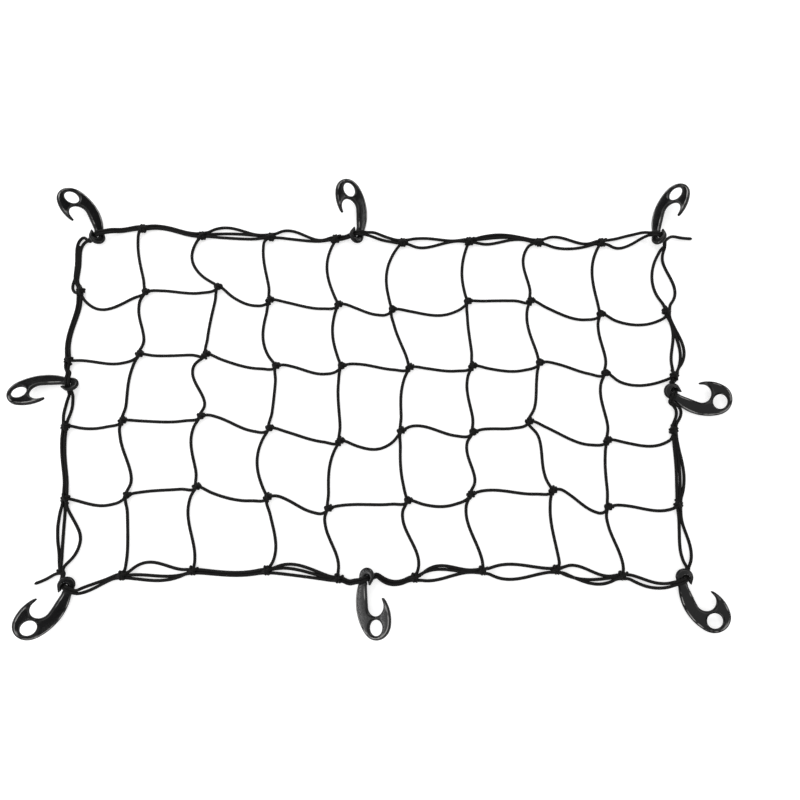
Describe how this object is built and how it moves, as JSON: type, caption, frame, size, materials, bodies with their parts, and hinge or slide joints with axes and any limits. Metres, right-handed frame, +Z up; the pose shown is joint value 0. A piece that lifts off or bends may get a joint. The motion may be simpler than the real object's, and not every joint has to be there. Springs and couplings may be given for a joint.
{
  "type": "cart cargo net",
  "caption": "Flat knotted net of elastic cord with a doubled cord border and moulded J hooks for holding down a load on a cart.",
  "frame": {"origin": "middle of the lying net's outline, on the floor it lies on", "axes": "+X along the long side, +Y across it towards the top border in the picture, +Z up from the floor"},
  "size_m": [1.0656, 0.6837, 0.0465],
  "materials": {
    "cord": "braided, matt with a slight sheen",
    "hook": "moulded, semi-gloss"
  },
  "bodies": {
    "root": {"mesh_net": "cord", "border_cord": "cord", "hook_top_left": "hook", "hook_top_middle": "hook", "hook_top_right": "hook", "hook_right_middle": "hook", "hook_bottom_right": "hook", "hook_bottom_middle": "hook", "hook_bottom_left": "hook", "hook_left_middle": "hook"}
  },
  "joints": []
}
